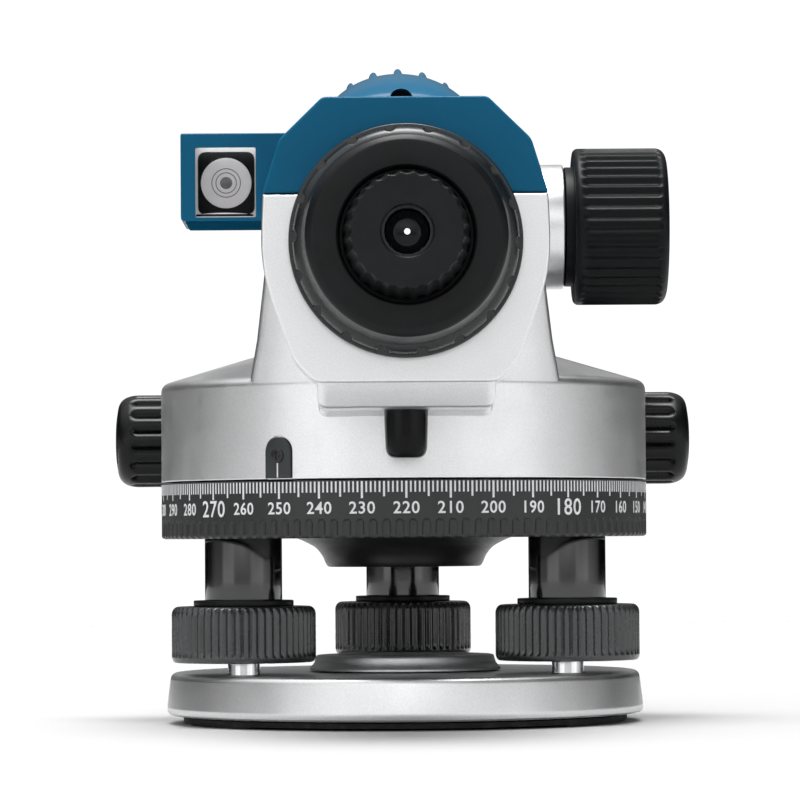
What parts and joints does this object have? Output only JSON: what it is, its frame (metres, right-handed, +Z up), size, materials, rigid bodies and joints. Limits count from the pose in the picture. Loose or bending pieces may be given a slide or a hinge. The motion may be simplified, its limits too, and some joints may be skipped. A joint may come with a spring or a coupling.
{
  "type": "automatic level",
  "caption": "Surveyor's automatic level on a footscrew tribrach, with a graduated circle, focusing telescope, swinging compensator and a bubble seen in a mirror.",
  "frame": {"origin": "centre of the underside of the base pad, on the instrument's vertical axis", "axes": "+Z up the vertical axis, +Y from the eyepiece to the objective, +X towards the focusing knob"},
  "size_m": [0.1286, 0.215, 0.1433],
  "materials": {
    "silver_paint": "satin silver paint with fine metallic speckle on cast aluminium",
    "turned_aluminium": "turned and polished",
    "blue_paint": "satin, fine moulded grain",
    "black_plastic": "semi-gloss moulded plastic",
    "black_gloss": "gloss",
    "black_paint": "satin black anodised",
    "dial_black": "satin black with white graduation",
    "dark_grey_paint": "satin",
    "pad_rubber": "matte",
    "steel": "ground",
    "chromed_steel": "bright chrome",
    "brass": "machined",
    "lens_glass": "coated optical glass",
    "mirror": "front-silvered"
  },
  "bodies": {
    "base": {"base_plate": "silver_paint", "base_pad": "pad_rubber", "tripod_bush": "turned_aluminium", "spring_plate": "steel", "spring_screw_1": "steel", "spring_screw_2": "steel", "spring_screw_3": "steel"},
    "tribrach": {"tribrach_plate": "black_paint", "axis_bush": "brass", "footscrew_sleeve_left": "black_gloss", "footscrew_sleeve_right": "black_gloss", "footscrew_sleeve_rear": "black_gloss"},
    "footscrew_left": {"footscrew_spindle_left": "chromed_steel", "footscrew_knob_left": "black_plastic", "footscrew_collar_left": "black_plastic"},
    "footscrew_right": {"footscrew_spindle_right": "chromed_steel", "footscrew_knob_right": "black_plastic", "footscrew_collar_right": "black_plastic"},
    "footscrew_rear_spindle": {"footscrew_spindle_rear": "chromed_steel"},
    "footscrew_rear_knob": {"footscrew_knob_rear": "black_plastic", "footscrew_collar_rear": "black_plastic"},
    "circle": {"horizontal_circle": "dial_black"},
    "worm_wheel": {"worm_wheel": "brass"},
    "alidade": {"main_housing": "silver_paint", "top_cover": "blue_paint", "index_tab": "dark_grey_paint", "index_screw": "black_paint", "vertical_spindle": "steel", "objective_barrel": "silver_paint", "objective_lens": "lens_glass", "objective_ring": "black_paint", "telescope_tube": "black_paint", "focus_boss": "silver_paint", "eyepiece_flange": "black_plastic", "eyepiece_cap": "black_plastic", "reticle_cell": "brass", "reticle": "lens_glass", "compensator_frame": "dark_grey_paint", "front_prism": "lens_glass", "rear_prism": "lens_glass", "damping_magnet": "steel", "bubble_housing": "blue_paint", "bubble_mirror": "mirror", "vial_carrier": "black_plastic", "circular_vial": "lens_glass"},
    "drive": {"drive_shaft": "steel", "drive_knob_left": "black_plastic", "drive_knob_right": "black_plastic"},
    "focus_control": {"focus_knob": "black_plastic", "focus_shaft": "steel"},
    "focus_lens": {"focusing_cell": "black_paint", "focusing_lens": "lens_glass"},
    "eyepiece": {"eyepiece_tube": "black_paint", "eye_lens": "lens_glass"},
    "diopter": {"diopter_ring": "black_plastic"},
    "pendulum": {"pendulum": "steel", "pendulum_prism": "lens_glass"},
    "lock_button": {"lock_button": "black_plastic", "button_spring": "steel"}
  },
  "joints": [
    {"name": "tribrach_tilt", "type": "hinge", "parent": "base", "child": "tribrach", "pos_m": [0, -0.0201, 0.0076], "axis": [1, 0, 0], "range_deg": [-1.5, 1.5]},
    {"name": "footscrew_left_turn", "type": "hinge", "parent": "tribrach", "child": "footscrew_left", "pos_m": [-0.03481, -0.0201, 0.0076], "axis": [0, 0, 1], "range_deg": [-800, 800]},
    {"name": "footscrew_right_turn", "type": "hinge", "parent": "tribrach", "child": "footscrew_right", "pos_m": [0.03481, -0.0201, 0.0076], "axis": [0, 0, 1], "range_deg": [-800, 800]},
    {"name": "footscrew_rear_slide", "type": "slide", "parent": "tribrach", "child": "footscrew_rear_spindle", "axis": [0, 0, 1], "range_m": [-0.0016, 0.0016]},
    {"name": "footscrew_rear_turn", "type": "hinge", "parent": "footscrew_rear_spindle", "child": "footscrew_rear_knob", "pos_m": [0, 0.0402, 0.0076], "axis": [0, 0, 1], "range_deg": [-815, 815]},
    {"name": "circle_turn", "type": "hinge", "parent": "tribrach", "child": "circle", "pos_m": [0, 0, 0.0464], "axis": [0, 0, 1], "continuous": true},
    {"name": "coarse_swing", "type": "hinge", "parent": "tribrach", "child": "worm_wheel", "pos_m": [0, 0, 0.06], "axis": [0, 0, 1], "continuous": true},
    {"name": "fine_turn", "type": "hinge", "parent": "worm_wheel", "child": "alidade", "pos_m": [0, 0, 0.06], "axis": [0, 0, 1], "continuous": true},
    {"name": "drive_turn", "type": "hinge", "parent": "alidade", "child": "drive", "pos_m": [0, 0.022, 0.0624], "axis": [1, 0, 0], "continuous": true},
    {"name": "focus_turn", "type": "hinge", "parent": "alidade", "child": "focus_control", "pos_m": [0.03, 0.004, 0.1088], "axis": [1, 0, 0], "range_deg": [-200, 200]},
    {"name": "focus_slide", "type": "slide", "parent": "alidade", "child": "focus_lens", "axis": [0, 1, 0], "range_m": [-0.009, 0.009]},
    {"name": "eyepiece_slide", "type": "slide", "parent": "alidade", "child": "eyepiece", "axis": [0, 1, 0], "range_m": [-0.001, 0.001]},
    {"name": "diopter_turn", "type": "hinge", "parent": "eyepiece", "child": "diopter", "pos_m": [0, -0.1, 0.1004], "axis": [0, 1, 0], "range_deg": [-150, 150]},
    {"name": "pendulum_swing", "type": "hinge", "parent": "alidade", "child": "pendulum", "pos_m": [0, -0.033, 0.113], "axis": [1, 0, 0], "range_deg": [-1, 1]},
    {"name": "button_press", "type": "slide", "parent": "alidade", "child": "lock_button", "axis": [0, 0, 1], "range_m": [0, 0.003], "stiffness_N_per_m": 200, "springref_m": -0.003, "deforming": ["button_spring"]}
  ],
  "couplings": [
    {"joint": "footscrew_rear_turn", "follows": "tribrach_tilt", "ratio": -541.24},
    {"joint": "footscrew_rear_slide", "follows": "tribrach_tilt", "m_per_rad": -0.0603},
    {"joint": "drive_turn", "follows": "fine_turn", "ratio": 72},
    {"joint": "focus_slide", "follows": "focus_turn", "m_per_rad": 0.0025},
    {"joint": "eyepiece_slide", "follows": "diopter_turn", "m_per_rad": 0.00038}
  ]
}
